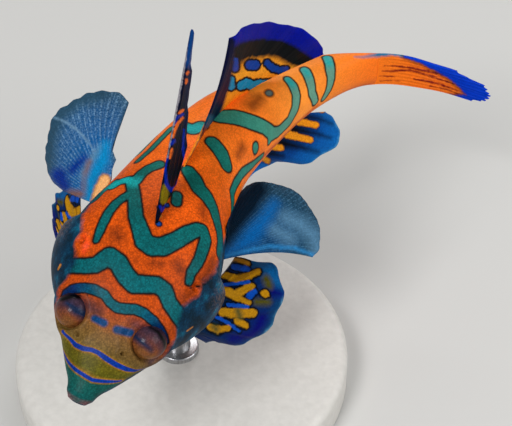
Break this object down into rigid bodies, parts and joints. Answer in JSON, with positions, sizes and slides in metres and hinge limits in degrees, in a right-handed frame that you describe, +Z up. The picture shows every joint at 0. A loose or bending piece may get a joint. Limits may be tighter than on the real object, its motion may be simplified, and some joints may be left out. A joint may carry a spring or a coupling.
{
  "type": "mandarinfish model on a display stand",
  "caption": "Life-size still model of a male mandarinfish with its fins spread and its tail bent to its left, held by a rod on a round base.",
  "frame": {"origin": "centre of the underside of the stand's round base", "axes": "+Z up; -Y towards the fish's snout, so the picture looks along +Y; +X to the side that the tail bends to"},
  "size_m": [0.0487, 0.0425, 0.0481],
  "materials": {
    "head_skin": "moist skin, red-orange with teal bands and blue lines",
    "torso_skin": "moist skin, orange with dark-edged teal bands and spots",
    "tail_base_skin": "moist skin, light orange with teal cross bars",
    "eye": "wet, purple-orange iris with a dark blue pupil",
    "first_dorsal": "thin fin, blue-black with orange streaks and a deep blue loop",
    "second_dorsal": "thin fin, deep blue margin, black band, orange base with blue spots",
    "anal": "thin fin, blue with orange bars",
    "tail": "thin fin, orange with dark red streaks and a blue edge and tip",
    "pectoral": "clear blue fin with fine pale rays",
    "pelvic": "deep blue fin with ochre and cobalt bars and a pale rim",
    "base": "satin, pale warm grey",
    "rod": "plain brushed steel"
  },
  "bodies": {
    "root": {"head": "head_skin", "torso": "torso_skin", "tail_base": "tail_base_skin", "eye_left": "eye", "eye_right": "eye", "first_dorsal_fin": "first_dorsal", "second_dorsal_fin": "second_dorsal", "anal_fin": "anal", "tail_fin": "tail", "pectoral_fin_left": "pectoral", "pectoral_fin_right": "pectoral", "pelvic_fin_left": "pelvic", "pelvic_fin_right": "pelvic", "stand_base": "base", "stand_rod": "rod"}
  },
  "joints": []
}
